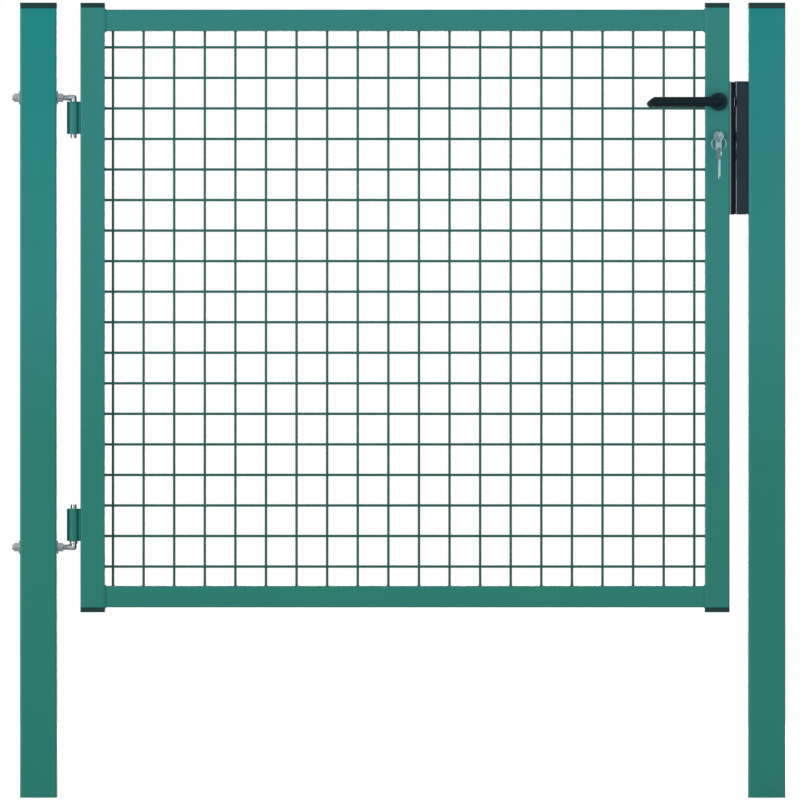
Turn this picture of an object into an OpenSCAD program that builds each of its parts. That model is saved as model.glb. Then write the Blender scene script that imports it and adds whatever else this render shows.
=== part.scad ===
// Single-leaf garden gate: two square tube posts, a tube frame filled with welded wire mesh,
// two adjustable hinges, a mortise lock with lever handles and a keeper on the latch post.
// Millimetres. The origin is the centre of the hinge post's foot, +X runs to the latch post,
// +Z is up and the leaf opens towards -Y, the front.

/* [Posts] */
// Side of the square posts
post_size = 60; // [50:1:80]
// From the feet of the posts up to the leaf, whose top is level with theirs
post_below = 303; // [100:1:600]
// Wall of the post tube
post_wall = 2; // [1.5:0.25:4]
// Outer corner radius of the post tube
post_corner_r = 4; // [2:0.5:6]
// Height of a post cap's head
post_cap_h = 9.6; // [4:0.2:15]

/* [Leaf] */
// Width of the leaf over its stiles
leaf_w = 1062; // [900:1:1200]
// Height of the leaf over its stile caps
leaf_h = 997; // [900:1:1200]
// Gap between the hinge post and the leaf
hinge_gap = 38.5; // [37.5:0.5:60]
// Gap between the leaf and the latch post
latch_gap = 31; // [25:0.5:45]
// Side of the square stiles
stile_size = 40; // [36:1:50]
// Wall of the stile tube
stile_wall = 2; // [1.5:0.25:2.5]
// Outer corner radius of the stile tube
stile_corner_r = 3; // [2:0.5:4]
// Height of a stile cap's head
stile_cap_h = 8; // [4:0.5:12]
// Height of the rails
rail_h = 35; // [25:1:45]
// Depth of the rails, front to back
rail_depth = 35; // [25:1:36]
// Wall of the rail tube
rail_wall = 1.5; // [1:0.25:3]
// Outer corner radius of the rail tube
rail_corner_r = 2.5; // [2:0.5:4]
// How far the top rail lies below the ends of the stiles
top_rail_drop = 3; // [0:0.5:20]

/* [Mesh] */
// Diameter of the mesh wires
wire_d = 3.8; // [3:0.1:6]
// Spacing of the mesh wires, both ways
mesh_pitch = 50; // [40:1:80]
// From the hinge stile to the first upright wire
mesh_side = 13.7; // [8:0.1:40]
// From the top rail to the first level wire
mesh_top = 26.8; // [8:0.1:40]
// How deep the wires are melted into each other at a crossing
weld_depth = 0.6; // [0.4:0.1:1.2]

/* [Hinges] */
// Diameter of the hinge bolts and their pins
rod_d = 10; // [8:0.5:12]
// From the post's face to the axis of the hinge pins
pin_reach = 27; // [26:0.5:40]
// Running clearance of a pin in its sleeve, on the radius
pin_clear = 0.1; // [0.05:0.05:0.3]
// Outer diameter of the hinge sleeves
sleeve_d = 22; // [18:0.5:22.5]
// Length of the hinge sleeves
sleeve_l = 53; // [30:1:80]
// From the leaf's top down to the upper end of the top sleeve
top_hinge_in = 161.2; // [80:0.1:300]
// From the leaf's foot up to the lower end of the bottom sleeve
bottom_hinge_in = 116.4; // [80:0.1:300]
// Free pin end beyond its sleeve
pin_end = 7; // [3:0.5:15]
// Centreline radius of the bolt's bend
bend_r = 5.5; // [5.5:0.5:9]
// Diameter of the collar that carries the leaf
collar_d = 16; // [13:0.5:20]
// Height of the collar that carries the leaf
collar_h = 4.2; // [3:0.1:8]
// Running gap between the collar and the sleeve
collar_gap = 0.3; // [0.2:0.1:0.6]
// Nut size across flats
nut_af = 14; // [13:0.5:18]
// Thickness of a nut
nut_t = 8; // [5:0.5:10]
// Diameter of a washer
washer_d = 22; // [16:0.5:24]
// Thickness of a washer
washer_t = 2.5; // [1:0.5:3]
// Thread that stands out of the outer nut
thread_end = 3; // [1:0.5:10]
// Width of the weld between sleeve and stile
weld_w = 9; // [5:0.5:12]

/* [Lock] */
// From the leaf's edge to the lever's axis
backset = 18; // [17:0.5:20]
// From the leaf's top down to the lever's axis
lever_in = 162; // [120:0.5:250]
// From the lever's axis down to the cylinder's axis
lock_spacing = 56.5; // [50:0.5:72]
// Height of the lock case
case_h = 155; // [140:1:170]
// From the lever's axis up to the case's top
case_top = 22; // [15:1:30]
// Thickness of the lock case, front to back
case_t = 16; // [12:1:20]
// Depth of the lock case from the leaf's edge
case_depth = 35; // [30:0.5:36]
// Width of the forend strip
forend_w = 20; // [18:1:24]
// Thickness of the forend strip
forend_t = 2.4; // [2:0.1:3]
// Height of the latch bolt
latch_h = 20; // [14:1:24]
// Thickness of the latch bolt, front to back
latch_t = 10; // [8:0.5:12]
// From the lever's axis down to the latch bolt's middle
latch_drop = 28; // [24:1:32]
// Height of the dead bolt
dead_h = 30; // [20:1:34]
// From the cylinder's lower end down to the dead bolt
dead_gap = 4.4; // [3:0.1:6]
// Length of both bolts
bolt_l = 28; // [20:1:30]

/* [Levers] */
// Diameter of the roses
rose_d = 30; // [26:1:34]
// Thickness of the roses
rose_t = 7; // [4:0.5:10]
// Diameter of the lever's hub
hub_d = 15; // [12:0.5:16]
// Reach of the lever from its axis
lever_l = 116; // [90:1:140]
// Height of the grip
grip_h = 15.6; // [12:0.2:20]
// Thickness of the grip
grip_t = 12; // [8:0.5:16]
// From the stile's face to the middle of the grip
grip_out = 32; // [28:0.5:50]
// Side of the square spindle
spindle_size = 8; // [7:0.5:9]

/* [Cylinder and keys] */
// Diameter of the cylinder's round part
cylinder_d = 17; // [16:0.5:18]
// Width of the cylinder's tail
tail_w = 10; // [9:0.5:11]
// Overall height of the cylinder
cylinder_h = 32.6; // [30:0.2:35]
// How far the cylinder stands out of the stile, each side
cylinder_out = 5; // [2:0.5:8]
// Diameter of the plug that the key turns
plug_d = 13; // [11:0.5:14]
// Length of the plug
plug_l = 27; // [20:1:30]
// Length of a key
key_l = 51.2; // [45:0.2:60]
// Thickness of a key
key_t = 2; // [1.5:0.1:2.5]
// Diameter of a key's bow
bow_d = 20; // [16:0.5:24]
// Width of a key's blade
blade_w = 8; // [6:0.5:8.5]
// Diameter of the hole in a key's bow
key_hole_d = 5; // [4.8:0.2:6]
// From the end of the bow to its hole's centre
key_hole_in = 6.2; // [5:0.1:8]
// From the cylinder's face to the hole in the key's bow
key_hole_out = 20; // [18:0.5:24]
// Mean diameter of the key ring
ring_d = 23.3; // [20:0.1:30]
// Thickness of the key ring's wire
ring_wire = 1.8; // [1.4:0.1:2]
// Turn of the spare key about the vertical
spare_turn = 20; // [10:1:30]

/* [Keeper] */
// Height of the keeper
keeper_h = 217.7; // [180:0.1:240]
// From the lever's axis up to the keeper's upper end
keeper_rise = 33.7; // [25:0.1:45]
// Running gap between the lock's forend and the keeper
keeper_clear = 5.9; // [5:0.1:8]
// How far the keeper's box reaches forward from the posts' centre plane
keeper_front = 20; // [15:1:28]
// Wall of the keeper
keeper_wall = 3; // [2:0.5:4]
// Radius of the keeper's front corner
keeper_corner_r = 5; // [3.5:0.5:7]
// Clearance between the closed leaf and the keeper's stop lip
stop_clear = 5.2; // [4:0.1:8]
// How far the stop lip reaches behind the leaf
stop_cover = 4; // [2:0.5:5]
// Clearance round each bolt in the keeper's windows
window_clear = 4; // [2:0.5:5]
// Diameter of the keeper's screws
screw_d = 6; // [4:0.5:8]

/* [Hidden] */
$fn = 64;
eps = 0.01;

// Clearances and small steps that fits use
slip = 0.15;
hole_clear = 0.5;
cut_clear = 1;

// Heights
leaf_bottom = post_below;
leaf_top = leaf_bottom + leaf_h;
top_sleeve_z = leaf_top - top_hinge_in;
bottom_sleeve_z = leaf_bottom + bottom_hinge_in;
lever_z = leaf_top - lever_in;
keeper_z = lever_z + keeper_rise - keeper_h;

// Faces and axes that the pieces share
post_face = post_size / 2;
leaf_left = post_face + hinge_gap;
leaf_right = leaf_left + leaf_w;
latch_post_x = leaf_right + latch_gap + post_size / 2;
latch_face = latch_post_x - post_size / 2;
pin_x = post_face + pin_reach;
stile_half = stile_size / 2;
stile_l = leaf_h - 2 * stile_cap_h;
stile_foot = leaf_bottom + stile_cap_h;
stile_head = leaf_top - stile_cap_h;
hinge_stile_x = leaf_left + stile_half;
latch_stile_x = leaf_right - stile_half;
rail_left = leaf_left + stile_size;
rail_right = leaf_right - stile_size;
rail_l = rail_right - rail_left;
bottom_rail_z = stile_foot + rail_h / 2;
top_rail_z = stile_head - top_rail_drop - rail_h / 2;
post_tube_l = leaf_top - post_cap_h;

// Mesh
mesh_floor = bottom_rail_z + rail_h / 2;
mesh_ceiling = top_rail_z - rail_h / 2;
wire_sides = 8;
wire_across = wire_d / cos(180 / wire_sides);
columns = floor((rail_l - mesh_side - wire_d) / mesh_pitch) + 1;
rows = floor((mesh_ceiling - mesh_floor - mesh_top - wire_d) / mesh_pitch) + 1;
wire_shift = (wire_d - weld_depth) / 2;

// Hinges
bend_gap = 1.2;
top_bolt_z = top_sleeve_z + bend_gap + rod_d / 2;
collar_top = bottom_sleeve_z - collar_gap;
bottom_bolt_z = collar_top - collar_h - bend_r;
rod_start = -post_face - washer_t - nut_t - thread_end;
sleeve_bore_r = rod_d / 2 + pin_clear;

// Lock
lever_x = leaf_right - backset;
cylinder_z = lever_z - lock_spacing;
cylinder_foot = cylinder_z + cylinder_d / 2 - cylinder_h;
cylinder_half_l = stile_half + cylinder_out;
case_z = lever_z + case_top - case_h;
forend_face = leaf_right + forend_t;
case_left = leaf_right - case_depth;
latch_z = lever_z - latch_drop;
dead_z = cylinder_foot - dead_gap - dead_h / 2;
follower_r = spindle_size * sqrt(2) / 2 + 0.35;
hub_hole_r = hub_d / 2 + hole_clear;
hub_start = stile_half - stile_wall;
grip_drop = 1.4;
grip_chamfer = 2;

// Keys
key_hole_y = -cylinder_half_l - key_hole_out;
ring_hang = 0.7;
ring_top_z = cylinder_z - ring_hang;
ring_z = ring_top_z - ring_d / 2;
spare_hang = 1.2;
spare_hole_z = ring_z - ring_d / 2 - spare_hang;
// Depth of each cut in a key's blade
key_cuts = [1.4, 2.4, 1.8, 2.8, 1.6];
key_cut_pitch = 4.2;
key_first_cut = 7;

// Keeper
keeper_w = latch_gap - forend_t - keeper_clear;
keeper_face = latch_face - keeper_w;
stop_y = stile_half + stop_clear;
lip_left = leaf_right - stop_cover;
rose_relief_r = rose_d / 2 + 5.5;
screw_head_d = 2 * screw_d;
screw_head_t = screw_d / 2;
screw_l = 14;
screw_inset = 45;
keeper_cap_t = 2;

GREEN = "#2f7f74";
DARK_GREEN = "#10332f";
ZINC = "#9a9ca0";
BLACK = "#23292d";
NICKEL = "#8c989c";

// Shared shapes

module rounded_rect(w, d, r) {
    square([w - 2 * r, d], center = true);
    square([w, d - 2 * r], center = true);
    for (x = [-1, 1], y = [-1, 1])
        translate([x * (w / 2 - r), y * (d / 2 - r)])
            circle(r);
}

module tube_profile(w, d, wall, r) {
    difference() {
        rounded_rect(w, d, r);
        rounded_rect(w - 2 * wall, d - 2 * wall, max(r - wall, 0.5));
    }
}

// Extrudes a front view, drawn in X and Z, from one depth to another
module along_y(y0, y1) {
    translate([0, y1, 0])
        rotate([90, 0, 0])
            linear_extrude(y1 - y0)
                children();
}

module cylinder_x(x0, x1, r) {
    translate([x0, 0, 0])
        rotate([0, 90, 0])
            cylinder(h = x1 - x0, r = r);
}

module cylinder_y(y0, y1, r) {
    translate([0, y0, 0])
        rotate([-90, 0, 0])
            cylinder(h = y1 - y0, r = r);
}

// Posts

module post_tube() {
    linear_extrude(post_tube_l)
        tube_profile(post_size, post_size, post_wall, post_corner_r);
}

// A cap's head covers the tube's end and its hollow skirt plugs into the tube
module tube_cap(size, wall, r, head) {
    skirt = size - 2 * wall - 2 * slip;
    skirt_l = 1.6 * head;
    skirt_wall = 1.5;
    linear_extrude(head)
        rounded_rect(size, size, r);
    translate([0, 0, -skirt_l])
        linear_extrude(skirt_l + eps)
            tube_profile(skirt, skirt, skirt_wall, max(r - wall, 0.6));
}

module post_cap() {
    translate([0, 0, post_tube_l])
        tube_cap(post_size, post_wall, post_corner_r, post_cap_h);
}

module hinge_post() {
    color(GREEN)
        difference() {
            post_tube();
            for (z = [top_bolt_z, bottom_bolt_z])
                translate([0, 0, z])
                    cylinder_x(-post_size, post_size, rod_d / 2 + hole_clear);
        }
}

module latch_post() {
    color(GREEN)
        difference() {
            translate([latch_post_x, 0, 0])
                post_tube();
            for (z = keeper_screw_heights())
                translate([latch_face, 0, z])
                    cylinder_x(-eps, post_wall + cut_clear, screw_d / 2 + slip);
        }
}

module hinge_post_cap() {
    color(DARK_GREEN)
        post_cap();
}

module latch_post_cap() {
    color(DARK_GREEN)
        translate([latch_post_x, 0, 0])
            post_cap();
}

// Hinge bolts: a rod through the post, bent into the pin that the sleeve turns on

module bolt_rod(turn) {
    rotate([turn, 0, 0]) {
        cylinder_x(rod_start, pin_x - bend_r, rod_d / 2);
        translate([pin_x - bend_r, 0, -bend_r])
            rotate([90, 0, 0])
                rotate_extrude(angle = 90)
                    translate([bend_r, 0])
                        circle(rod_d / 2);
    }
}

module top_hinge_bolt() {
    pin_bottom = top_sleeve_z - sleeve_l - pin_end;
    color(ZINC) {
        translate([0, 0, top_bolt_z])
            bolt_rod(0);
        translate([pin_x, 0, pin_bottom])
            cylinder(h = top_bolt_z - bend_r - pin_bottom, r = rod_d / 2);
    }
}

module bottom_hinge_bolt() {
    pin_top = bottom_sleeve_z + sleeve_l + pin_end;
    pin_foot = bottom_bolt_z + bend_r;
    color(ZINC) {
        translate([0, 0, bottom_bolt_z])
            bolt_rod(180);
        translate([pin_x, 0, pin_foot])
            cylinder(h = pin_top - pin_foot, r = rod_d / 2);
        translate([pin_x, 0, pin_foot])
            cylinder(h = collar_h, d = collar_d);
    }
}

// A nut that starts at x and is nut_t long, with two of its flats level
module nut(x) {
    translate([x, 0, 0])
        rotate([0, 90, 0])
            difference() {
                rotate([0, 0, 30])
                    cylinder(h = nut_t, d = nut_af / cos(30), $fn = 6);
                translate([0, 0, -cut_clear])
                    cylinder(h = nut_t + 2 * cut_clear, r = rod_d / 2 + slip);
            }
}

module washer(x) {
    difference() {
        cylinder_x(x, x + washer_t, washer_d / 2);
        cylinder_x(x - cut_clear, x + washer_t + cut_clear, rod_d / 2 + slip);
    }
}

module hinge_nuts(z) {
    color(ZINC)
        translate([0, 0, z]) {
            nut(-post_face - washer_t - nut_t);
            nut(post_face + washer_t);
        }
}

module hinge_washers(z) {
    color(ZINC)
        translate([0, 0, z]) {
            washer(-post_face - washer_t);
            washer(post_face);
        }
}

module top_hinge_nuts() {
    hinge_nuts(top_bolt_z);
}

module bottom_hinge_nuts() {
    hinge_nuts(bottom_bolt_z);
}

module top_hinge_washers() {
    hinge_washers(top_bolt_z);
}

module bottom_hinge_washers() {
    hinge_washers(bottom_bolt_z);
}

// A sleeve and the weld that joins it to the stile, bored for the pin
module hinge_sleeve(z) {
    color(GREEN)
        translate([pin_x, 0, z])
            difference() {
                union() {
                    cylinder(h = sleeve_l, d = sleeve_d);
                    translate([0, -weld_w / 2, 0])
                        cube([leaf_left - pin_x, weld_w, sleeve_l]);
                }
                translate([0, 0, -cut_clear])
                    cylinder(h = sleeve_l + 2 * cut_clear, r = sleeve_bore_r);
            }
}

module top_hinge_sleeve() {
    hinge_sleeve(top_sleeve_z - sleeve_l);
}

module bottom_hinge_sleeve() {
    hinge_sleeve(bottom_sleeve_z);
}

// Leaf frame

module stile(x) {
    translate([x, 0, stile_foot])
        linear_extrude(stile_l)
            tube_profile(stile_size, stile_size, stile_wall, stile_corner_r);
}

module hinge_stile() {
    color(GREEN)
        stile(hinge_stile_x);
}

module latch_stile() {
    color(GREEN)
        difference() {
            stile(latch_stile_x);
            translate([lever_x, 0, lever_z])
                cylinder_y(-stile_size, stile_size, hub_hole_r);
            along_y(-stile_size, stile_size)
                euro_profile(hole_clear);
            translate([leaf_right - 2 * stile_wall, -case_t / 2 - slip, case_z - slip])
                cube([3 * stile_wall, case_t + 2 * slip, case_h + 2 * slip]);
        }
}

module rail(z) {
    color(GREEN)
        translate([rail_left, 0, z])
            rotate([90, 0, 90])
                linear_extrude(rail_l)
                    tube_profile(rail_depth, rail_h, rail_wall, rail_corner_r);
}

module top_rail() {
    rail(top_rail_z);
}

module bottom_rail() {
    rail(bottom_rail_z);
}

module stile_cap() {
    tube_cap(stile_size, stile_wall, stile_corner_r, stile_cap_h);
}

module stile_top_cap(x) {
    color(DARK_GREEN)
        translate([x, 0, stile_head])
            stile_cap();
}

module stile_bottom_cap(x) {
    color(DARK_GREEN)
        translate([x, 0, stile_foot])
            rotate([180, 0, 0])
                stile_cap();
}

module hinge_stile_top_cap() {
    stile_top_cap(hinge_stile_x);
}

module hinge_stile_bottom_cap() {
    stile_bottom_cap(hinge_stile_x);
}

module latch_stile_top_cap() {
    stile_top_cap(latch_stile_x);
}

module latch_stile_bottom_cap() {
    stile_bottom_cap(latch_stile_x);
}

// Mesh: upright wires behind, level wires in front, melted together where they cross

module wire(l) {
    rotate([0, 0, 180 / wire_sides])
        cylinder(h = l, d = wire_across, $fn = wire_sides);
}

module mesh_panel() {
    color(GREEN)
        union() {
            for (i = [0 : columns - 1])
                translate([rail_left + mesh_side + i * mesh_pitch, wire_shift, mesh_floor])
                    wire(mesh_ceiling - mesh_floor);
            for (i = [0 : rows - 1])
                translate([rail_left, -wire_shift, mesh_ceiling - mesh_top - i * mesh_pitch])
                    rotate([0, 90, 0])
                        wire(rail_l);
        }
}

// Lock

// The cylinder's outline as seen from the front, grown by a clearance
module euro_profile(grow) {
    tail_r = tail_w / 2;
    tail_z = cylinder_foot + tail_r;
    translate([lever_x, cylinder_z])
        circle(cylinder_d / 2 + grow);
    translate([lever_x, tail_z])
        circle(tail_r + grow);
    translate([lever_x - tail_r - grow, tail_z])
        square([tail_w + 2 * grow, cylinder_z - tail_z]);
}

// The space of a bolt in the case, forend and keeper, from one X to another
module bolt_space(x0, x1, z, h, grow) {
    translate([x0, -latch_t / 2 - grow, z - h / 2 - grow])
        cube([x1 - x0, latch_t + 2 * grow, h + 2 * grow]);
}

module lock_case() {
    color(ZINC)
        difference() {
            translate([case_left, -case_t / 2, case_z])
                cube([case_depth, case_t, case_h]);
            translate([lever_x, 0, lever_z])
                cylinder_y(-case_t, case_t, follower_r);
            along_y(-case_t, case_t)
                euro_profile(slip);
            bolt_space(forend_face - bolt_l - slip, forend_face, latch_z, latch_h, slip);
            bolt_space(forend_face - bolt_l - slip, forend_face, dead_z, dead_h, slip);
        }
}

module lock_forend() {
    color(ZINC)
        difference() {
            translate([leaf_right, -forend_w / 2, keeper_z])
                cube([forend_t, forend_w, keeper_h]);
            bolt_space(leaf_right - cut_clear, forend_face + cut_clear, latch_z, latch_h, slip);
            bolt_space(leaf_right - cut_clear, forend_face + cut_clear, dead_z, dead_h, slip);
        }
}

module latch_bolt() {
    color(NICKEL)
        bolt_space(forend_face - bolt_l, forend_face, latch_z, latch_h, 0);
}

module dead_bolt() {
    color(NICKEL)
        bolt_space(forend_face - bolt_l, forend_face, dead_z, dead_h, 0);
}

module lock_cylinder() {
    color(NICKEL)
        difference() {
            along_y(-cylinder_half_l, cylinder_half_l)
                euro_profile(0);
            translate([lever_x, 0, cylinder_z]) {
                cylinder_y(-cylinder_half_l - cut_clear, plug_l - cylinder_half_l + slip, plug_d / 2 + slip);
                cylinder_y(cylinder_half_l - plug_l / 2 - slip, cylinder_half_l + cut_clear, plug_d / 2 + slip);
            }
        }
}

// A plug from the cylinder's front face inwards, with its keyway
module plug(l) {
    translate([lever_x, -cylinder_half_l, cylinder_z])
        difference() {
            cylinder_y(0, l, plug_d / 2);
            translate([-key_t / 2 - slip, -cut_clear, -blade_w / 2 - slip])
                cube([key_t + 2 * slip, l + 2 * cut_clear, blade_w + 2 * slip]);
        }
}

module front_plug() {
    color(NICKEL)
        plug(plug_l);
}

module back_plug() {
    color(NICKEL)
        mirror([0, 1, 0])
            plug(plug_l / 2);
}

// Rose: a domed disc with a bore for the hub
module rose() {
    edge = 2;
    translate([lever_x, -stile_half, lever_z])
        rotate([90, 0, 0])
            rotate_extrude()
                polygon([[hub_hole_r, 0], [rose_d / 2, 0], [rose_d / 2, rose_t - edge],
                    [rose_d / 2 - edge, rose_t], [hub_hole_r, rose_t]]);
}

module front_rose() {
    color(BLACK)
        rose();
}

module back_rose() {
    color(BLACK)
        mirror([0, 1, 0])
            rose();
}

// The grip's outline from the front, shrunk by an edge: round at the hub, a blunt point at the tip
module grip_outline(edge) {
    half = grip_h / 2 - edge;
    tip = lever_l - edge;
    top_slope = 10;
    bottom_slope = 4;
    circle(half, $fn = 32);
    polygon([[0, half], [-tip + top_slope, half], [-tip, edge / 2], [-tip, -edge / 2],
        [-tip + bottom_slope, -half], [0, -half]]);
}

module lever() {
    translate([lever_x, 0, lever_z]) {
        cylinder_y(-stile_half - grip_out, -hub_start, hub_d / 2);
        translate([0, -stile_half - grip_out, -grip_drop])
            hull() {
                along_y(-grip_t / 2 + grip_chamfer, grip_t / 2 - grip_chamfer)
                    grip_outline(0);
                along_y(-grip_t / 2, grip_t / 2)
                    grip_outline(grip_chamfer);
            }
    }
}

module front_lever() {
    color(BLACK)
        lever();
}

module back_lever() {
    color(BLACK)
        mirror([0, 1, 0])
            lever();
}

module spindle() {
    color(ZINC)
        translate([lever_x - spindle_size / 2, -hub_start, lever_z - spindle_size / 2])
            cube([spindle_size, 2 * hub_start, spindle_size]);
}

// A key drawn flat: its bow's hole is at the origin and its blade runs along +X
module key_outline() {
    bow_end = -key_hole_in;
    tip = key_l - key_hole_in;
    difference() {
        union() {
            translate([bow_end + bow_d / 2, 0])
                circle(d = bow_d);
            translate([0, -blade_w / 2])
                square([tip - blade_w / 2, blade_w]);
            polygon([[tip - blade_w / 2 - eps, -blade_w / 2], [tip, -blade_w / 8],
                [tip, blade_w / 8], [tip - blade_w / 2 - eps, blade_w / 2]]);
        }
        circle(d = key_hole_d);
        for (i = [0 : len(key_cuts) - 1])
            translate([tip - key_first_cut - i * key_cut_pitch, blade_w / 2])
                polygon([[-key_cut_pitch / 2, cut_clear], [-key_cut_pitch / 6, -key_cuts[i]],
                    [key_cut_pitch / 6, -key_cuts[i]], [key_cut_pitch / 2, cut_clear]]);
    }
}

module door_key() {
    color(NICKEL)
        translate([lever_x - key_t / 2, key_hole_y, cylinder_z])
            rotate([90, 0, 90])
                linear_extrude(key_t)
                    key_outline();
}

module key_ring() {
    color(ZINC)
        translate([lever_x, key_hole_y, ring_z])
            rotate([90, 0, 0])
                rotate_extrude()
                    translate([ring_d / 2, 0])
                        circle(ring_wire / 2);
}

module spare_key() {
    color(NICKEL)
        translate([lever_x, key_hole_y, spare_hole_z])
            rotate([0, 0, spare_turn])
                rotate([0, 90, 0])
                    translate([0, 0, -key_t / 2])
                        linear_extrude(key_t)
                            key_outline();
}

// Keeper: a box on the latch post with windows for the bolts, and a stop lip behind the leaf

function keeper_screw_heights() = [keeper_z + screw_inset, keeper_z + keeper_h - screw_inset];

// The keeper from above: a box with a round front corner, its back wall running on as the lip
module keeper_profile() {
    box_d = stop_y + keeper_wall + keeper_front;
    r = keeper_corner_r;
    difference() {
        union() {
            translate([keeper_face + r, -keeper_front])
                square([keeper_w - r, box_d]);
            translate([keeper_face, -keeper_front + r])
                square([keeper_w, box_d - r]);
            translate([keeper_face + r, -keeper_front + r])
                circle(r);
            translate([lip_left, stop_y])
                square([keeper_face - lip_left + r, keeper_wall]);
        }
        keeper_hollow(0);
    }
}

module keeper_hollow(shrink) {
    wall = keeper_wall + shrink;
    r = max(keeper_corner_r - wall, 0.5);
    x0 = keeper_face + wall;
    x1 = latch_face - wall;
    y0 = -keeper_front + wall;
    y1 = stop_y - shrink;
    translate([x0 + r, y0])
        square([x1 - x0 - r, y1 - y0]);
    translate([x0, y0 + r])
        square([x1 - x0, y1 - y0 - r]);
    translate([x0 + r, y0 + r])
        circle(r);
}

module keeper() {
    color(BLACK)
        difference() {
            translate([0, 0, keeper_z])
                linear_extrude(keeper_h)
                    keeper_profile();
            window_end = keeper_face + keeper_wall + eps;
            bolt_space(keeper_face - cut_clear, window_end, latch_z, latch_h, window_clear);
            bolt_space(keeper_face - cut_clear, window_end, dead_z, dead_h, window_clear);
            translate([lever_x, 0, lever_z])
                cylinder_y(stop_y - eps, stop_y + keeper_wall + cut_clear, rose_relief_r);
            for (z = keeper_screw_heights())
                translate([latch_face, 0, z])
                    cylinder_x(-keeper_wall - cut_clear, cut_clear, screw_d / 2 + slip);
        }
}

module keeper_cap(z) {
    color(BLACK)
        translate([0, 0, z])
            linear_extrude(keeper_cap_t)
                keeper_hollow(slip);
}

module keeper_top_cap() {
    keeper_cap(keeper_z + keeper_h - keeper_cap_t);
}

module keeper_bottom_cap() {
    keeper_cap(keeper_z);
}

module keeper_screws() {
    head_x = latch_face - keeper_wall;
    color(ZINC)
        for (z = keeper_screw_heights())
            translate([0, 0, z]) {
                cylinder_x(head_x - screw_head_t, head_x, screw_head_d / 2);
                cylinder_x(head_x - eps, head_x + screw_l, screw_d / 2);
            }
}

hinge_post();
latch_post();
hinge_post_cap();
latch_post_cap();
top_hinge_bolt();
bottom_hinge_bolt();
top_hinge_nuts();
bottom_hinge_nuts();
top_hinge_washers();
bottom_hinge_washers();
keeper();
keeper_top_cap();
keeper_bottom_cap();
keeper_screws();
hinge_stile();
latch_stile();
top_rail();
bottom_rail();
hinge_stile_top_cap();
hinge_stile_bottom_cap();
latch_stile_top_cap();
latch_stile_bottom_cap();
top_hinge_sleeve();
bottom_hinge_sleeve();
mesh_panel();
lock_case();
lock_forend();
latch_bolt();
dead_bolt();
lock_cylinder();
back_plug();
front_rose();
back_rose();
front_lever();
back_lever();
spindle();
front_plug();
door_key();
key_ring();
spare_key();
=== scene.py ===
"""The looks of a welded-mesh garden gate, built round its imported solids.

Everything is in metres, in the solids' frame: the hinge post's foot is at the origin, +X runs to
the latch post, +Z is up and the gate is looked at from -Y.
"""

import math

import bpy
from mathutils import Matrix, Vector


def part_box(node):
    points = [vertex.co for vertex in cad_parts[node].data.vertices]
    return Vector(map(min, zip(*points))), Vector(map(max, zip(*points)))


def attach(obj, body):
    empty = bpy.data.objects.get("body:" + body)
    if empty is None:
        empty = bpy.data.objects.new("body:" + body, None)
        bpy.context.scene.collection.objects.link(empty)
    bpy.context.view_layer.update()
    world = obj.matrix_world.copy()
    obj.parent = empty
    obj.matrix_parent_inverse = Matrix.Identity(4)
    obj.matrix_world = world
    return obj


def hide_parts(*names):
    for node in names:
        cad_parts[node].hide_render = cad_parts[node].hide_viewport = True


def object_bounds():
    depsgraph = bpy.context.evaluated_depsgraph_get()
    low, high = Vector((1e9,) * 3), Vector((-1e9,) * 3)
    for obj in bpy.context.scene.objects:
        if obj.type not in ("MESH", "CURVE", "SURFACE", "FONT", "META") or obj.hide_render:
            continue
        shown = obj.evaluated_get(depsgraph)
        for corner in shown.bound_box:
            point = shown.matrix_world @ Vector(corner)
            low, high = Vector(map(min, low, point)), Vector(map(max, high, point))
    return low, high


MM = 0.001

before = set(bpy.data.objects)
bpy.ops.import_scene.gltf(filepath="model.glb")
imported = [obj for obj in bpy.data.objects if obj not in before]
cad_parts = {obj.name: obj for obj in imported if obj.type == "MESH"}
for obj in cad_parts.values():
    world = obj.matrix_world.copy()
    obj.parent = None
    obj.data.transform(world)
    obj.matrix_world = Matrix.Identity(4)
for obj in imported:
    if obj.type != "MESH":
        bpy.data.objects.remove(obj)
cad_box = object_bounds()


# Camera: the photograph is taken straight from the front, from so far off that it has no perspective

MM_PER_PIXEL = 1.635
PICTURE = 800
POST_LEFT_PIXEL = 19.96
FOOT_PIXEL = 797.7
LENS = 600.0
SENSOR = 36.0


def make_camera():
    low, high = cad_box
    frame_size = PICTURE * MM_PER_PIXEL * MM
    post_low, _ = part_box("hinge_post")
    left_edge = post_low.x - POST_LEFT_PIXEL * MM_PER_PIXEL * MM
    middle_x = left_edge + frame_size / 2
    middle_z = (FOOT_PIXEL - PICTURE / 2) * MM_PER_PIXEL * MM
    distance = frame_size * LENS / SENSOR
    data = bpy.data.cameras.new("camera")
    data.lens = LENS
    data.sensor_width = SENSOR
    data.clip_start = 0.1
    data.clip_end = 200.0
    camera = bpy.data.objects.new("camera", data)
    camera.location = (middle_x, post_low.y - distance, middle_z)
    camera.rotation_euler = (math.radians(90), 0, 0)
    bpy.context.scene.collection.objects.link(camera)
    bpy.context.scene.camera = camera


make_camera()


# Ways of working: each one is what a modeller does by hand


def only(piece):
    """Makes the piece the only selected and the active object."""
    bpy.ops.object.select_all(action="DESELECT")
    piece.select_set(True)
    bpy.context.view_layer.objects.active = piece
    return piece


def settled(name):
    """Names the new primitive and puts its place and size into its mesh."""
    piece = only(bpy.context.active_object)
    piece.name = name
    piece.data.name = name
    bpy.ops.object.transform_apply(location=True, rotation=True, scale=True)
    return piece


def rod(name, radius, start, end, sides=32):
    """A cylinder from one point to another."""
    start, end = Vector(start), Vector(end)
    along = end - start
    bpy.ops.mesh.primitive_cylinder_add(
        vertices=sides,
        radius=radius,
        depth=along.length,
        location=(start + end) / 2,
        rotation=along.to_track_quat("Z", "Y").to_euler(),
    )
    return settled(name)


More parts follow.
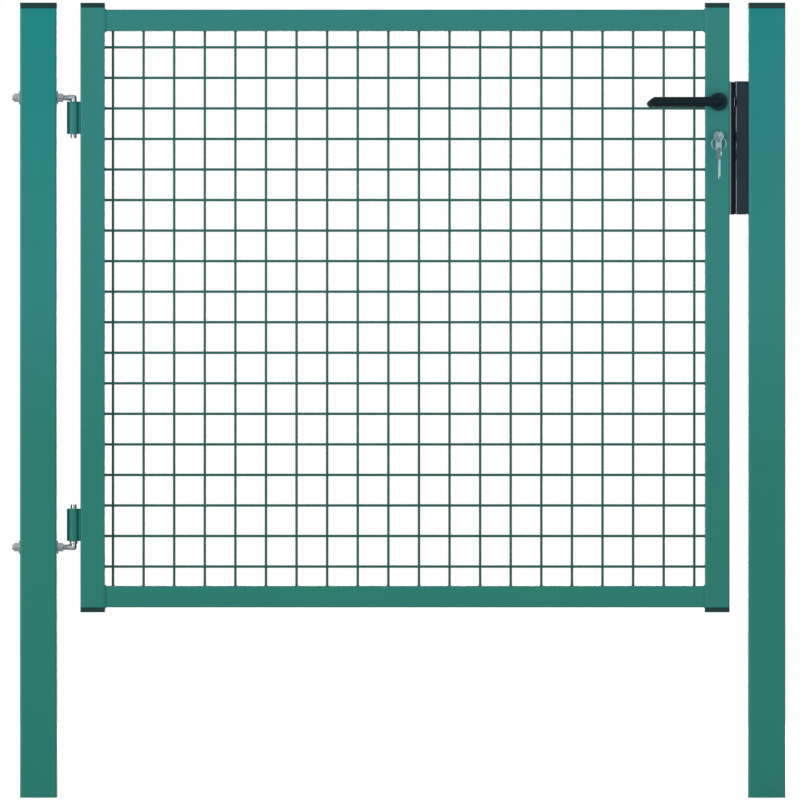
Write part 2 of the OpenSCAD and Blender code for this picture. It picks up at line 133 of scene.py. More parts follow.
def block(name, low, high):
    """A box from its lowest to its highest corner."""
    low, high = Vector(low), Vector(high)
    bpy.ops.mesh.primitive_cube_add(size=1, location=(low + high) / 2)
    bpy.context.active_object.scale = high - low
    return settled(name)


def ball(name, centre, radii, segments=8, rings=5):
    """A sphere pulled to three radii."""
    bpy.ops.mesh.primitive_uv_sphere_add(segments=segments, ring_count=rings, radius=1, location=centre)
    bpy.context.active_object.scale = radii
    return settled(name)


def modify(piece, kind, **settings):
    """Adds a modifier, sets it and applies it."""
    only(piece)
    bpy.ops.object.modifier_add(type=kind)
    modifier = piece.modifiers[-1]
    for key, value in settings.items():
        setattr(modifier, key, value)
    bpy.ops.object.modifier_apply(modifier=modifier.name)
    return piece


def soften(piece, width, segments=2, angle=35):
    """Rounds every edge that is sharper than the angle, and shades the piece smooth between them."""
    modify(
        piece,
        "BEVEL",
        width=width,
        segments=segments,
        limit_method="ANGLE",
        angle_limit=math.radians(angle),
    )
    smooth(piece, angle)
    return modify(piece, "WEIGHTED_NORMAL", keep_sharp=True, weight=100)


def smooth(piece, angle=40):
    only(piece)
    bpy.ops.object.shade_smooth_by_angle(angle=math.radians(angle))
    return piece


def repeat(piece, count, step):
    """Copies the piece in a row."""
    return modify(
        piece,
        "ARRAY",
        count=count,
        use_relative_offset=False,
        use_constant_offset=True,
        constant_offset_displace=step,
    )


def cut(piece, tool):
    """Takes the tool's shape out of the piece."""
    modify(piece, "BOOLEAN", operation="DIFFERENCE", solver="EXACT", object=tool)
    bpy.data.objects.remove(tool)
    return piece


def join(name, parts):
    """Joins parts into one piece."""
    only(parts[0])
    for part in parts[1:]:
        part.select_set(True)
    bpy.ops.object.join()
    piece = bpy.context.active_object
    piece.name = name
    piece.data.name = name
    return piece


def edit(piece, mode):
    """Starts editing the piece's vertices, edges or faces with nothing selected."""
    only(piece)
    bpy.ops.object.mode_set(mode="EDIT")
    bpy.ops.mesh.select_mode(type=mode)
    bpy.ops.mesh.select_all(action="DESELECT")


def done():
    bpy.ops.object.mode_set(mode="OBJECT")


def pick_faces(piece, wanted):
    """Starts editing with the faces selected whose centre and normal pass the test."""
    edit(piece, "FACE")
    done()
    for face in piece.data.polygons:
        face.select = wanted(face.center, face.normal)
    bpy.ops.object.mode_set(mode="EDIT")


def push(x=0.0, y=0.0, z=0.0):
    """Extrudes the selected faces along a vector."""
    bpy.ops.mesh.extrude_region_move(TRANSFORM_OT_translate={"value": (x, y, z)})


def face_outwards(piece):
    edit(piece, "FACE")
    bpy.ops.mesh.select_all(action="SELECT")
    bpy.ops.mesh.remove_doubles(threshold=0.001 * MM)
    bpy.ops.mesh.normals_make_consistent(inside=False)
    done()
    return piece


def copy_of(node, name):
    """A copy of a solid's mesh, with its triangles merged into whole faces."""
    only(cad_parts[node])
    bpy.ops.object.duplicate()
    piece = bpy.context.active_object
    piece.parent = None
    for key in list(piece.keys()):
        del piece[key]
    piece.name = name
    piece.data.name = name
    bpy.ops.mesh.customdata_custom_splitnormals_clear()
    bpy.ops.object.mode_set(mode="EDIT")
    bpy.ops.mesh.select_all(action="SELECT")
    bpy.ops.mesh.remove_doubles(threshold=0.005 * MM)
    bpy.ops.mesh.dissolve_limited(angle_limit=math.radians(0.5))
    done()
    return piece


def place(piece, body, finish, slot, *nodes):
    """Gives a finished piece its material and body, and hides the solids that it stands for."""
    piece.data.materials.clear()
    piece.data.materials.append(finish)
    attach(piece, body)
    if nodes:
        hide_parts(*nodes)
    return piece


# Materials


def linear(code):
    """An sRGB hex colour as linear red, green, blue and alpha."""
    parts = [int(code[i : i + 2], 16) / 255 for i in (1, 3, 5)]
    return [p / 12.92 if p <= 0.04045 else ((p + 0.055) / 1.055) ** 2.4 for p in parts] + [1.0]


def node_in(tree, kind, settings=None, links=None):
    """Adds a node, sets its properties and sockets, and links outputs into its sockets."""
    made = tree.nodes.new(kind)
    for key, value in (settings or {}).items():
        if isinstance(key, str) and hasattr(made, key):
            setattr(made, key, value)
        else:
            made.inputs[key].default_value = value
    for key, output in (links or {}).items():
        tree.links.new(output, made.inputs[key])
    return made


def new_material(name, settings):
    """A material with one Principled shader, and its tree."""
    material = bpy.data.materials.new(name)
    material.use_nodes = True
    tree = material.node_tree
    tree.nodes.clear()
    shader = node_in(tree, "ShaderNodeBsdfPrincipled", settings)
    output = node_in(tree, "ShaderNodeOutputMaterial")
    tree.links.new(shader.outputs["BSDF"], output.inputs["Surface"])
    return material, tree, shader


def object_point(tree):
    return node_in(tree, "ShaderNodeTexCoord").outputs["Object"]


def fine_bump(tree, shader, point, size_mm, height_mm, detail=2.0, stretch=1.0):
    """Unevenness of a given width and height, drawn out along Z by the stretch."""
    if stretch != 1.0:
        drawn = node_in(tree, "ShaderNodeMapping", {"Scale": (1, 1, 1 / stretch)}, {"Vector": point})
        point = drawn.outputs["Vector"]
    grain = node_in(
        tree,
        "ShaderNodeTexNoise",
        {"Scale": 1 / (size_mm * MM), "Detail": detail},
        {"Vector": point},
    )
    bump = node_in(
        tree,
        "ShaderNodeBump",
        {"Strength": 1.0, "Distance": height_mm * MM},
        {"Height": grain.outputs["Fac"]},
    )
    tree.links.new(bump.outputs["Normal"], shader.inputs["Normal"])
    return grain


# Heights of the painted light and shade in the green coats: each coat's hue shifts between them.
PAINTED_LIGHT_HEIGHTS = (0.56, 0.82, 1.3)


def powder_coat_green(name, *painted_light_hues):
    """Polyester powder coat over galvanised steel: a satin skin with a faint orange peel, which
    breaks up reflections. Its hue shifts with height, greener at the foot and cooler higher up:
    painted light and shade, for how the light falls over the gate's height."""
    material, tree, shader = new_material(
        name,
        {"Roughness": 0.42, "IOR": 1.5, "Specular IOR Level": 0.16},
    )
    point = object_point(tree)
    height = node_in(tree, "ShaderNodeSeparateXYZ", {}, {"Vector": point})
    share = node_in(
        tree,
        "ShaderNodeMapRange",
        {"From Max": PAINTED_LIGHT_HEIGHTS[-1]},
        {"Value": height.outputs["Z"]},
    )
    # Painted light and shade: the base colour shifts with height along these stops.
    hue = node_in(tree, "ShaderNodeValToRGB", {}, {"Fac": share.outputs["Result"]})
    stops = hue.color_ramp.elements
    stops.new(0.5)
    for stop, stop_height, code in zip(stops, PAINTED_LIGHT_HEIGHTS, painted_light_hues):
        stop.position = stop_height / PAINTED_LIGHT_HEIGHTS[-1]
        stop.color = linear(code)
    cloud = node_in(tree, "ShaderNodeTexNoise", {"Scale": 1 / (180 * MM), "Detail": 3.0}, {"Vector": point})
    paler = node_in(
        tree,
        "ShaderNodeMix",
        {"data_type": "RGBA", "blend_type": "OVERLAY", 0: 0.06},
        {6: hue.outputs["Color"], 7: cloud.outputs["Color"]},
    )
    tree.links.new(paler.outputs[2], shader.inputs["Base Color"])
    fine_bump(tree, shader, point, 2.2, 0.035)
    return material


def cap_polyethylene():
    """Injection-moulded low-density polyethylene, tinted near black-green: waxy and matt, with a
    fine spark-eroded grain."""
    material, tree, shader = new_material(
        "cap_polyethylene",
        {"Base Color": linear("#0A2C2C"), "Roughness": 0.5, "IOR": 1.51, "Specular IOR Level": 0.14},
    )
    fine_bump(tree, shader, object_point(tree), 0.5, 0.02)
    return material


def metal(name, colour, roughness, wander, patch_mm, grain_mm, grain_height_mm, stretch=1.0):
    """A plated metal whose roughness wanders in patches and whose surface has a fine grain, drawn
    out into brush lines where it is stretched."""
    material, tree, shader = new_material(
        name, {"Base Color": linear(colour), "Metallic": 1.0, "Roughness": roughness}
    )
    point = object_point(tree)
    patches = node_in(tree, "ShaderNodeTexVoronoi", {"Scale": 1 / (patch_mm * MM)}, {"Vector": point})
    uneven = node_in(
        tree,
        "ShaderNodeMapRange",
        {"To Min": roughness - wander, "To Max": roughness + wander},
        {"Value": patches.outputs["Distance"]},
    )
    tree.links.new(uneven.outputs["Result"], shader.inputs["Roughness"])
    fine_bump(tree, shader, point, grain_mm, grain_height_mm, stretch=stretch)
    return material


def zinc_plate():
    """Electro-galvanised steel: pale grey, half dull, with faint crystals a few millimetres wide."""
    return metal("zinc_plate", "#ADB1B4", 0.4, 0.07, 4.0, 0.6, 0.006)


def ring_steel():
    """Hardened steel wire of the key ring: grey and a little worn."""
    return metal("ring_steel", "#708886", 0.4, 0.05, 4.0, 0.4, 0.004)


def satin_nickel():
    """Brushed and nickel-plated brass: a little darker and cooler than zinc, with a soft gloss."""
    return metal("satin_nickel", "#87A2A7", 0.37, 0.02, 6.0, 0.12, 0.002, 25.0)


def nickel_with_painted_shade():
    """The same plating on the spare key, darker and rougher to dim its reflection: the darker colour is painted
    shade.
    """
    return metal("nickel_with_painted_shade", "#7A9A9C", 0.42, 0.02, 6.0, 0.12, 0.002, 25.0)


def satin_stainless():
    """Ground stainless strip on the lock's edge: mid grey, with a fine soft grain."""
    return metal("satin_stainless", "#6C7C80", 0.34, 0.02, 6.0, 0.15, 0.002, 40.0)


def keeper_coat():
    """Black polyester powder coat on the keeper's profile: satin, slightly blue, finely pebbled."""
    material, tree, shader = new_material(
        "keeper_coat",
        {
            "Base Color": linear("#02181F"),
            "Roughness": 0.25,
            "IOR": 1.5,
            "Specular IOR Level": 0.33,
            "Specular Tint": linear("#E0F2FF"),
        },
    )
    fine_bump(tree, shader, object_point(tree), 1.5, 0.001)
    return material


def moulded_nylon(name, colour):
    """Glass-filled nylon, moulded: black with a soft sheen and a fine grain from the mould."""
    material, tree, shader = new_material(
        name,
        {"Base Color": linear(colour), "Roughness": 0.42, "IOR": 1.53, "Specular IOR Level": 0.09},
    )
    fine_bump(tree, shader, object_point(tree), 0.6, 0.015)
    return material


# Each coat takes three hues, for the foot, the middle and the top: their change with height is painted light and
# shade.
POST_GREEN = powder_coat_green("powder_coat_on_posts", "#1B6A5D", "#22716B", "#0A716E")
GREEN = powder_coat_green("powder_coat_on_frame", "#1E6B5E", "#24706A", "#24706A")
# The wire's coat is the frame's green made darker: painted shade for the round wires.
WIRE_GREEN_SHADED = powder_coat_green("powder_coat_on_wire", "#204F49", "#265853", "#265853")
CAP = cap_polyethylene()
ZINC = zinc_plate()
RING_STEEL = ring_steel()
NICKEL = satin_nickel()
NICKEL_WITH_PAINTED_SHADE = nickel_with_painted_shade()
KEEPER = keeper_coat()
LEVER_NYLON = moulded_nylon("lever_nylon", "#08161B")
ROSE_NYLON = moulded_nylon("rose_nylon", "#0E2F34")
STAINLESS = satin_stainless()


# Posts and frame: the tubes stay as they are cut, under their coat


def coat_tubes():
    for node in ("hinge_post", "latch_post", "hinge_stile", "latch_stile", "top_rail", "bottom_rail"):
        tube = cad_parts[node]
        tube.data.materials.clear()
        tube.data.materials.append(POST_GREEN if node.endswith("post") else GREEN)


coat_tubes()


def tube_cap(node, body, face_z, inwards):
    """A moulded cap with soft edges and the small round mark of its gate on top."""
    mark_r = 3.0 * MM
    mark_depth = 0.3 * MM
    low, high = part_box(node)
    middle = (low + high) / 2
    piece = copy_of(node, node + "_moulding")
    deep = face_z + inwards * mark_depth
    out = face_z - inwards * mark_depth
    cut(piece, rod("gate_mark", mark_r, (middle.x, middle.y, out), (middle.x, middle.y, deep), 24))
    soften(piece, 0.8 * MM, 3)
    place(piece, body, CAP, "cap_plastic", node)


for node, body in (
    ("hinge_post_cap", "posts"),
    ("latch_post_cap", "posts"),
    ("hinge_stile_top_cap", "leaf"),
    ("latch_stile_top_cap", "leaf"),
):
    tube_cap(node, body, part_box(node)[1].z, -1)
for node in ("hinge_stile_bottom_cap", "latch_stile_bottom_cap"):
    tube_cap(node, "leaf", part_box(node)[0].z, 1)


# Welds


def weld_bead(name, start, end, radius, pitch):
    """A weld as a row of overlapping puddles from one point to another."""
    start, end = Vector(start), Vector(end)
    along = end - start
    step = along.normalized() * pitch
    count = max(2, int(along.length / pitch))
    first = start + (along - step * (count - 1)) / 2
    bead = ball(name, first, (radius, radius, radius))
    repeat(bead, count, step)
    return bead


BEAD_R = 1.9 * MM
BEAD_PITCH = 1.2 * MM


def frame_welds():
    """A bead all round each end of the rails, where they butt against the stiles."""
    beads = []
    for rail in ("top_rail", "bottom_rail"):
        low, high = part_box(rail)
        for x in (low.x, high.x):
            for z in (low.z, high.z):
                beads.append(weld_bead("bead", (x, low.y, z), (x, high.y, z), BEAD_R, BEAD_PITCH))
            for y in (low.y, high.y):
                beads.append(weld_bead("bead", (x, y, low.z), (x, y, high.z), BEAD_R, BEAD_PITCH))
    place(smooth(join("frame_welds", beads)), "leaf", GREEN, "green_coating")


frame_welds()


# Mesh panel

WIRE_R = 2.1 * MM
ROW_PITCH = 50.0 * MM
COLUMN_PITCH = 50.09 * MM
MESH_SIDE = 13.0 * MM
MESH_TOP = 26.4 * MM


def mesh_panel():
    """Round wires, welded where they cross and where they meet the frame."""
    low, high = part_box("mesh_panel")
    upright_y = high.y - WIRE_R
    level_y = low.y + WIRE_R
    first_x = low.x + MESH_SIDE
    first_z = high.z - MESH_TOP
    columns = int((high.x - first_x - WIRE_R) / COLUMN_PITCH) + 1
    rows = int((first_z - low.z - WIRE_R) / ROW_PITCH) + 1
    along_x = (COLUMN_PITCH, 0, 0)
    down = (0, 0, -ROW_PITCH)

    upright = rod("upright", WIRE_R, (first_x, upright_y, low.z), (first_x, upright_y, high.z), 16)
    repeat(upright, columns, along_x)
    level = rod("level", WIRE_R, (low.x, level_y, first_z), (high.x, level_y, first_z), 16)
    repeat(level, rows, down)

    nugget = ball("nugget", (first_x, 0, first_z), (2.4 * MM, 1.9 * MM, 2.4 * MM))
    repeat(nugget, columns, along_x)
    repeat(nugget, rows, down)

    ends = []
    for z in (low.z, high.z):
        end = ball("end", (first_x, upright_y, z), (3.0 * MM, 2.8 * MM, 1.8 * MM))
        ends.append(repeat(end, columns, along_x))
    for x in (low.x, high.x):
        end = ball("end", (x, level_y, first_z), (1.8 * MM, 2.8 * MM, 3.0 * MM))
        ends.append(repeat(end, rows, down))
    panel = smooth(join("welded_mesh", [upright, level, nugget] + ends))
    # The wires take the darker copy of the green: painted shade.
    place(panel, "leaf", WIRE_GREEN_SHADED, "green_coating", "mesh_panel")


mesh_panel()


# Hinges

ROD_R = 5.0 * MM
THREAD_PITCH = 1.5 * MM
THREAD_CORE_R = 4.35 * MM
COLLAR_FOOT = 5.5 * MM
COLLAR_H = 4.2 * MM
COLLAR_R = 6.6 * MM


def thread(name, start_x, end_x, z):
    """A helical ridge round the rod."""
    turns = int((end_x - start_x) / THREAD_PITCH) - 1
    ridge_r = (ROD_R - THREAD_CORE_R) / 0.75
    bpy.ops.mesh.primitive_circle_add(
        vertices=3,
        radius=ridge_r,
        location=(start_x + THREAD_PITCH, 0, z + ROD_R - ridge_r),
        rotation=(math.radians(90), 0, 0),
    )
    ridge = settled(name)
    bpy.context.scene.cursor.location = (start_x, 0, z)
    bpy.ops.object.origin_set(type="ORIGIN_CURSOR")
    modify(
        ridge,
        "SCREW",
        axis="X",
        angle=math.radians(360),
        screw_offset=THREAD_PITCH,
        iterations=turns,
        steps=24,
        render_steps=24,
        use_merge_vertices=False,
    )
    only(ridge)
    bpy.ops.object.transform_apply(location=True, rotation=True, scale=True)
    edit(ridge, "EDGE")
    bpy.ops.mesh.select_non_manifold()
    bpy.ops.mesh.fill_holes(sides=4)
    done()
    return face_outwards(ridge)


def bent_bolt(node, name, towards):
    """A threaded rod that turns a tight corner into its pin, which hangs where towards is -1 and
    stands where it is 1."""
    low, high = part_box(node)
    bolt_z = high.z - ROD_R if towards < 0 else low.z + ROD_R
    pin_end = low.z if towards < 0 else high.z
    pin_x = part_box("top_hinge_bolt")[1].x - ROD_R
    thread_end = pin_x - 8 * MM
    bpy.ops.mesh.primitive_circle_add(
        vertices=32,
        radius=THREAD_CORE_R,
        fill_type="NGON",
        location=(low.x, 0, bolt_z),
        rotation=(0, math.radians(90), 0),
    )
    bolt = settled(name)
    edit(bolt, "FACE")
    bpy.ops.mesh.select_all(action="SELECT")
    push(x=thread_end - low.x)
    push(x=0.8 * MM)
    wider = ROD_R / THREAD_CORE_R
    bpy.ops.transform.resize(value=(1, wider, wider), center_override=(thread_end, 0, bolt_z))
    push(x=pin_x - thread_end - 0.8 * MM)
    done()
    face_outwards(bolt)
    pin = rod("pin", ROD_R, (pin_x, 0, bolt_z), (pin_x, 0, pin_end))
    elbow = ball("elbow", (pin_x, 0, bolt_z), (ROD_R, ROD_R, ROD_R), 32, 16)
    parts = [soften(bolt, 0.9 * MM, 2), soften(pin, 0.9 * MM, 2), elbow]
    parts.append(thread("thread", low.x, thread_end, bolt_z))
    if towards > 0:
        foot = bolt_z + COLLAR_FOOT
        parts.append(
            soften(rod("collar", COLLAR_R, (pin_x, 0, foot), (pin_x, 0, foot + COLLAR_H)), 0.6 * MM)
        )
    place(smooth(join(name, parts)), "posts", ZINC, "zinc", node)
    return bolt_z


def hinge_nut(x0, x1, z, corner_r):
    """A hexagon nut, its corners turned off at both ends."""
    chamfer = 1.1 * MM
    bpy.ops.mesh.primitive_cylinder_add(
        vertices=6,
        radius=corner_r,
        depth=x1 - x0,
        location=((x0 + x1) / 2, 0, z),
        rotation=(0, math.radians(90), 0),
    )
    nut = settled("nut")
    turned = rod("turned", corner_r, (x0, 0, z), (x1, 0, z), 48)
    modify(turned, "BEVEL", width=chamfer, segments=1, limit_method="ANGLE", angle_limit=math.radians(35))
    modify(nut, "BOOLEAN", operation="INTERSECT", solver="EXACT", object=turned)
    bpy.data.objects.remove(turned)
    return soften(nut, 0.2 * MM, 1)


def hinge_fasteners(level, z):
    """The nuts and washers on both sides of the post."""
    low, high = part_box(level + "_hinge_nuts")
    flat_low, flat_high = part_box(level + "_hinge_washers")
    post_low, post_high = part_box("hinge_post")
    corner_r = (high.y - low.y) / 2
    nuts = [hinge_nut(low.x, flat_low.x, z, corner_r), hinge_nut(flat_high.x, high.x, z, corner_r)]
    place(join(level + "_hinge_hexagons", nuts), "posts", ZINC, "zinc", level + "_hinge_nuts")
    washer_r = (flat_high.z - flat_low.z) / 2
    washers = []
    for x0, x1 in ((flat_low.x, post_low.x), (post_high.x, flat_high.x)):
        washers.append(soften(rod("washer", washer_r, (x0, 0, z), (x1, 0, z), 40), 0.4 * MM))
    place(join(level + "_hinge_discs", washers), "posts", ZINC, "zinc", level + "_hinge_washers")


def hinge_sleeve(node):
    """The sleeve with its turned ends, and a bead on each side where it is welded to the stile."""
    low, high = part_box(node)
    seam_y = 6.4 * MM
    seam_x = high.x - 1.2 * MM
    parts = [soften(copy_of(node, node + "_turned"), 0.7 * MM, 2)]
    for y in (-seam_y, seam_y):
        parts.append(
            weld_bead("bead", (seam_x, y, low.z + 2 * MM), (seam_x, y, high.z - 2 * MM), 2.4 * MM, 1.4 * MM)
        )
    place(smooth(join(node + "_turned", parts)), "leaf", GREEN, "green_coating", node)


hinge_fasteners("top", bent_bolt("top_hinge_bolt", "top_bent_bolt", -1))
hinge_fasteners("bottom", bent_bolt("bottom_hinge_bolt", "bottom_bent_bolt", 1))
hinge_sleeve("top_hinge_sleeve")
hinge_sleeve("bottom_hinge_sleeve")


# Levers, roses and lock

HUB_R = 7.5 * MM
GRIP_HALF_H = 7.8 * MM
GRIP_HALF_T = 6.0 * MM
HUB_UP = 0.7 * MM
GRIP_DROP = 0.3 * MM


def lever(node, name, front):
    """A round hub that turns out of the rose and sweeps into a flattened grip with a blunt point.
    front is -1 for the lever on the front and 1 for the one on the back."""
    low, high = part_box(node)
    axis_x = high.x - GRIP_HALF_H
    axis_z = (low.z + high.z) / 2 + HUB_UP
    start_y = low.y if front > 0 else high.y
    grip_y = (high.y - GRIP_HALF_T) if front > 0 else (low.y + GRIP_HALF_T)
    bend_r = 8.5 * MM
    bpy.ops.mesh.primitive_circle_add(
        vertices=24,
        radius=HUB_R,
        fill_type="NGON",
        location=(axis_x, start_y, axis_z),
        rotation=(math.radians(90), 0, 0),
    )
    piece = settled(name)
    edit(piece, "FACE")
    bpy.ops.mesh.select_all(action="SELECT")
    push(y=grip_y - front * bend_r - start_y)
    bpy.ops.mesh.spin(
        steps=8,
        angle=math.radians(-90 * front),
        center=(axis_x - bend_r, grip_y - front * bend_r, axis_z),
        axis=(0, 0, 1),
    )
    grip_start = axis_x - bend_r
    lengths = (8 * MM, 8 * MM, 60 * MM)
    heights = (1.02, 1.02, 1.0)
    depths = (0.92, 0.9, 1.0)
    x = grip_start
    for length, taller, thinner in zip(lengths, heights, depths):
        push(x=-length, z=-GRIP_DROP / 3)
        x -= length
        middle = (x, grip_y, axis_z - GRIP_DROP / 2)
        bpy.ops.transform.resize(value=(1, thinner, taller), center_override=middle)
    push(x=low.x + 10 * MM - x)
    push(x=-6 * MM, z=-1.6 * MM)
    middle = (low.x + 4 * MM, grip_y, axis_z - GRIP_DROP - 1.6 * MM)
    bpy.ops.transform.resize(value=(1, 0.9, 0.72), center_override=middle)
    push(x=-4 * MM)
    middle = (low.x, grip_y, axis_z - GRIP_DROP - 1.6 * MM)
    bpy.ops.transform.resize(value=(1, 0.55, 0.35), center_override=middle)
    done()
    face_outwards(piece)
    soften(piece, 0.8 * MM, 2, 50)
    place(smooth(piece, 60), "levers", LEVER_NYLON, "lever_plastic", node)


def rose(node, front):
    """A round rose: a bevelled rim, a groove and a raised collar round the hub."""
    low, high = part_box(node)
    middle = (low + high) / 2
    radius = (high.x - low.x) / 2
    piece = rod(
        node + "_disc",
        radius,
        (middle.x, low.y, middle.z),
        (middle.x, high.y, middle.z),
        64,
    )
    face_y = high.y if front > 0 else low.y
    pick_faces(piece, lambda centre, normal: abs(centre.y - face_y) < 0.1 * MM)
    bpy.ops.mesh.inset(thickness=4.2 * MM)
    push(y=-front * 1.2 * MM)
    bpy.ops.mesh.inset(thickness=0.8 * MM)
    push(y=front * 1.0 * MM)
    done()
    soften(piece, 0.9 * MM, 3)
    place(piece, "leaf", ROSE_NYLON, "lever_plastic", node)


lever("front_lever", "front_lever_moulding", -1)
lever("back_lever", "back_lever_moulding", 1)
rose("front_rose", -1)
rose("back_rose", 1)


def break_edges(node, body, finish, slot, width):
    """A solid as it is cut, with its edges broken as the real ones are."""
    piece = soften(copy_of(node, node + "_finished"), width * MM, 2)
    place(piece, body, finish, slot, node)


def lock_metal():
    """The cylinder, its plugs and the two bolts."""
    break_edges("lock_cylinder", "leaf", NICKEL, "nickel", 0.4)
    break_edges("back_plug", "leaf", NICKEL, "nickel", 0.2)
    break_edges("front_plug", "key_and_plug", NICKEL, "nickel", 0.2)
    break_edges("latch_bolt", "leaf", NICKEL, "nickel", 0.6)
    break_edges("dead_bolt", "leaf", NICKEL, "nickel", 0.6)


FOREND_SCREW_R = 4.4 * MM
FOREND_SCREW_IN = 9 * MM
SCREW_SINK = 0.25 * MM
CROSS_ARM = 2.4 * MM
CROSS_WIDTH = 0.55 * MM
CROSS_DEPTH = 1.0 * MM


def countersunk_screw(face_x, z):
    """A flat screw head with a cross recess, a little below the forend's face."""
    head = rod("screw", FOREND_SCREW_R - 0.15 * MM, (face_x - 1.6 * MM, 0, z), (face_x - SCREW_SINK, 0, z), 32)
    for across, up in ((CROSS_ARM, CROSS_WIDTH), (CROSS_WIDTH, CROSS_ARM)):
        slot = block(
            "slot",
            (face_x - CROSS_DEPTH, -across, z - up),
            (face_x + CROSS_DEPTH, across, z + up),
        )
        cut(head, slot)
    return soften(head, 0.15 * MM, 1)


def forend():
    """The strip on the lock's edge, with its two fixing screws and the screw that holds the cylinder."""
    low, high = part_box("lock_forend")
    cylinder_low, cylinder_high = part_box("lock_cylinder")
    cylinder_z = cylinder_high.z - (cylinder_high.x - cylinder_low.x) / 2
    strip = copy_of("lock_forend", "forend_strip")
    heads = []
    for z in (low.z + FOREND_SCREW_IN, high.z - FOREND_SCREW_IN, cylinder_z):
        hole = rod("hole", FOREND_SCREW_R, (low.x + 0.6 * MM, 0, z), (high.x + 1 * MM, 0, z), 32)
        cut(strip, hole)
        heads.append(countersunk_screw(high.x, z))
    soften(strip, 0.3 * MM, 2)
    place(join("forend_strip", [strip] + heads), "leaf", STAINLESS, "lock_steel", "lock_forend")


def keeper():
    """The profile with its stop lip, the caps in its ends and the screws inside it."""
    break_edges("keeper", "posts", KEEPER, "black_coating", 0.7)
    break_edges("keeper_top_cap", "posts", CAP, "cap_plastic", 0.3)
    break_edges("keeper_bottom_cap", "posts", CAP, "cap_plastic", 0.3)
    break_edges("keeper_screws", "posts", ZINC, "zinc", 0.5)


lock_metal()
forend()
keeper()
for hidden in ("lock_case", "spindle"):
    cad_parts[hidden].data.materials.clear()
    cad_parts[hidden].data.materials.append(ZINC)


# Keys and ring

KEY_HOLE_IN = 6.2 * MM
BOW_R = 10 * MM
PANEL_R = 7.6 * MM
PANEL_DEPTH = 0.3 * MM
GROOVE_R = 0.9 * MM
GROOVE_DEPTH = 0.55 * MM
GROOVE_OFFSET = 1.3 * MM
KEY_LENGTH = 51.2 * MM


def key(node, body, finish, along, across, thick):
    """A cut key: a sunk panel on each side of its bow and a milled groove on each side of its blade.
    along runs from the bow to the tip, across over the blade, thick through it."""
    low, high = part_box(node)
    middle = (low + high) / 2
    along, across, thick = Vector(along), Vector(across), Vector(thick).normalized()
    bow_end = Vector((middle.x, low.y, middle.z)) if abs(along.y) > 0.5 else Vector((middle.x, middle.y, high.z))
    half = 1.0 * MM
    piece = copy_of(node, node + "_cut")
    for side in (-1, 1):
        bow = bow_end + along * BOW_R
        inner = bow + thick * side * (half - PANEL_DEPTH)
        cut(piece, rod("panel", PANEL_R, inner, bow + thick * side * 3 * half, 40))
        lift = thick * side * (half + GROOVE_R - GROOVE_DEPTH) + across * side * GROOVE_OFFSET
        groove = rod(
            "groove",
            GROOVE_R,
            bow_end + along * (2 * BOW_R + 1.5 * MM) + lift,
            bow_end + along * (KEY_LENGTH + 2 * MM) + lift,
            20,
        )
        cut(piece, groove)
    soften(piece, 0.18 * MM, 2)
    place(piece, body, finish, "nickel", node)


SPARE_TURN = math.radians(20)
key("door_key", "key_and_plug", NICKEL, (0, 1, 0), (0, 0, -1), (1, 0, 0))
# The spare key takes a darker copy of the nickel plating: painted shade.
key(
    "spare_key",
    "ring_and_spare_key",
    NICKEL_WITH_PAINTED_SHADE,
    (0, 0, -1),
    (math.cos(SPARE_TURN + math.pi / 2), math.sin(SPARE_TURN + math.pi / 2), 0),
    (math.cos(SPARE_TURN), math.sin(SPARE_TURN), 0),
)


def split_ring():
    """Two close turns of flat wire."""
    low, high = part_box("key_ring")
    middle = (low + high) / 2
    wire_t = (high.y - low.y) / 2
    wire_r = wire_t * 0.95
    mean_r = (high.x - low.x) / 2 - wire_t
    bpy.ops.mesh.primitive_circle_add(
        vertices=10,
        radius=wire_r / 2,
        location=(middle.x + mean_r, middle.y - wire_t, middle.z),
    )
    piece = settled("split_ring")
    edit(piece, "VERT")
    bpy.ops.mesh.select_all(action="SELECT")
    bpy.ops.transform.resize(value=(1.7, 1, 1), center_override=(middle.x + mean_r, middle.y, middle.z))
    done()
    bpy.context.scene.cursor.location = middle
    bpy.ops.object.origin_set(type="ORIGIN_CURSOR")
    modify(
        piece,
        "SCREW",
        axis="Y",
        angle=math.radians(360),
        screw_offset=wire_t,
        iterations=2,
        steps=64,
        render_steps=64,
        use_merge_vertices=False,
    )
    only(piece)
    bpy.ops.object.transform_apply(location=True, rotation=True, scale=True)
    edit(piece, "EDGE")
    bpy.ops.mesh.select_non_manifold()
    bpy.ops.mesh.fill_holes(sides=12)
    done()
    face_outwards(piece)
    place(smooth(piece), "ring_and_spare_key", RING_STEEL, "zinc", "key_ring")


split_ring()


# Light and floor


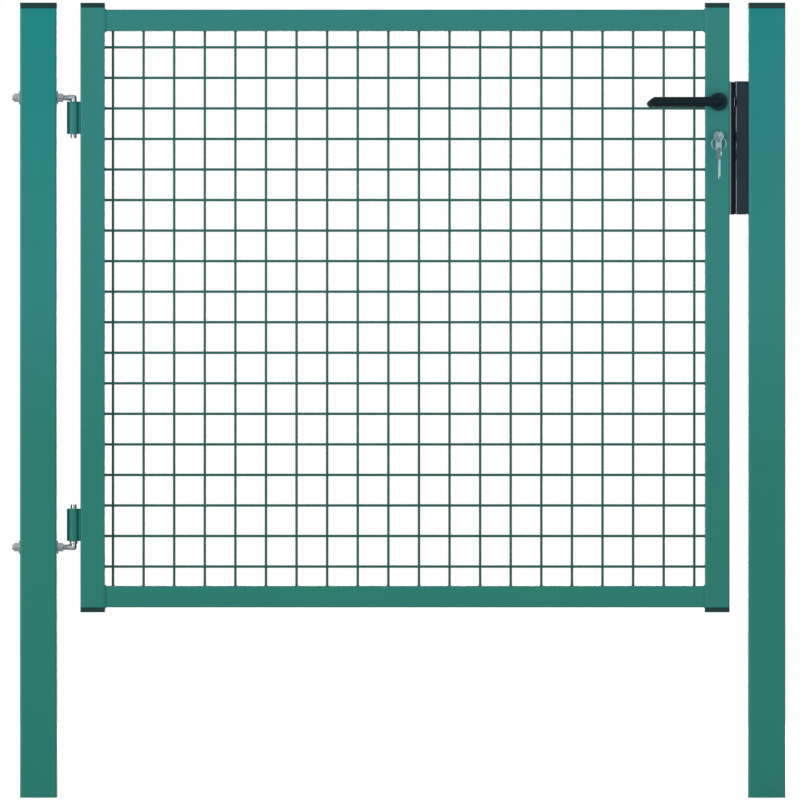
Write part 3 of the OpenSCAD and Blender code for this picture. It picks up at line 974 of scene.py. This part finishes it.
def studio():
    """A white surround that gives an even soft light."""
    world = bpy.data.worlds.new("studio")
    bpy.context.scene.world = world
    world.use_nodes = True
    tree = world.node_tree
    tree.nodes.clear()
    ray = node_in(tree, "ShaderNodeLightPath")
    seen = node_in(tree, "ShaderNodeMath", {"operation": "MAXIMUM"}, {0: ray.outputs["Is Camera Ray"], 1: ray.outputs["Is Glossy Ray"]})
    shown = node_in(tree, "ShaderNodeMath", {"operation": "MAXIMUM"}, {0: seen.outputs[0], 1: ray.outputs["Is Transmission Ray"]})
    light = node_in(tree, "ShaderNodeBackground", {"Color": linear("#FFFFFF"), "Strength": 0.6})
    white = node_in(tree, "ShaderNodeBackground", {"Color": linear("#FFFFFF"), "Strength": 1.0})
    mixed = node_in(tree, "ShaderNodeMixShader", {}, {0: shown.outputs[0], 1: light.outputs[0], 2: white.outputs[0]})
    output = node_in(tree, "ShaderNodeOutputWorld")
    tree.links.new(mixed.outputs[0], output.inputs["Surface"])


def lamp(name, place_at, aim, width, height, power):
    """A soft box that faces a point."""
    data = bpy.data.lights.new(name, "AREA")
    data.shape = "RECTANGLE"
    data.size = width
    data.size_y = height
    data.energy = power
    lamp_object = bpy.data.objects.new(name, data)
    lamp_object.location = place_at
    towards = Vector(aim) - Vector(place_at)
    lamp_object.rotation_euler = towards.to_track_quat("-Z", "Y").to_euler()
    bpy.context.scene.collection.objects.link(lamp_object)


def floor():
    """A pale floor, lifted to white for the camera a little more where the lamps don't reach, so
    that only the gate's shadow stays grey."""
    bpy.ops.mesh.primitive_plane_add(size=24, location=(0.6, 0, 0))
    plane = settled("floor")
    material, tree, shader = new_material(
        "floor_paint", {"Base Color": linear("#E8E8E8"), "Roughness": 0.9}
    )
    away = node_in(
        tree,
        "ShaderNodeVectorMath",
        {"operation": "DISTANCE", 1: (0.6, 0, 0)},
        {0: object_point(tree)},
    )
    lift = node_in(
        tree,
        "ShaderNodeMapRange",
        {"From Min": 1.0, "From Max": 4.5, "To Min": 0.38, "To Max": 0.53},
        {"Value": away.outputs["Value"]},
    )
    ray = node_in(tree, "ShaderNodeLightPath")
    glow = node_in(
        tree,
        "ShaderNodeMath",
        {"operation": "MULTIPLY"},
        {0: lift.outputs["Result"], 1: ray.outputs["Is Camera Ray"]},
    )
    shader.inputs["Emission Color"].default_value = linear("#FFFFFF")
    tree.links.new(glow.outputs[0], shader.inputs["Emission Strength"])
    plane.data.materials.append(material)


studio()
middle_of_gate = (0.6, 0, 0.65)
lamp("key_light", (-4.2, -3.9, 1.1), middle_of_gate, 2.1, 1.5, 222)
lamp("fill_light", (3.0, -3.4, 1.2), middle_of_gate, 2.4, 2.4, 53)
lamp("back_light", (1.4, 4.6, 1.4), middle_of_gate, 3.0, 2.4, 105)
floor()

bpy.context.scene.view_settings.view_transform = "Standard"
